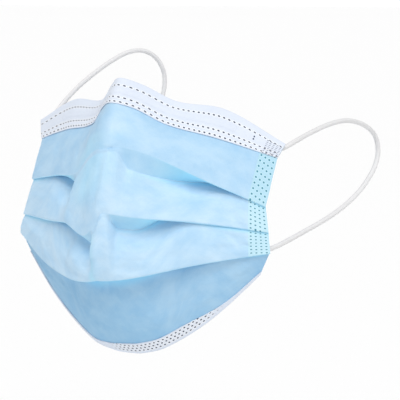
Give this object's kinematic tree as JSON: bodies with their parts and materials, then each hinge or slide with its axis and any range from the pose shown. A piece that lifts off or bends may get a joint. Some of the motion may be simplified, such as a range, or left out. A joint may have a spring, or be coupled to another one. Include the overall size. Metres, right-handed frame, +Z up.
{
  "type": "surgical face mask",
  "caption": "Pleated face mask in worn form: pale blue nonwoven shell opened over nose and chin, white folded nose band and hem, welded sides, round elastic ear loops.",
  "frame": {"origin": "inner face of the nose band at the bridge of the nose, halfway down the band, where the mask sits on a face", "axes": "+Z up, -Y the way the wearer looks, +X to the wearer's left"},
  "size_m": [0.1703, 0.1569, 0.1623],
  "materials": {
    "blue_nonwoven": "matt spunbond nonwoven, pale sky blue",
    "white_nonwoven": "matt spunbond nonwoven, cool white",
    "white_elastic": "soft round knitted elastic, white"
  },
  "bodies": {
    "root": {"body": "blue_nonwoven", "nose_band": "white_nonwoven", "bottom_hem": "white_nonwoven", "ear_loop_left": "white_elastic", "ear_loop_right": "white_elastic"}
  },
  "joints": []
}
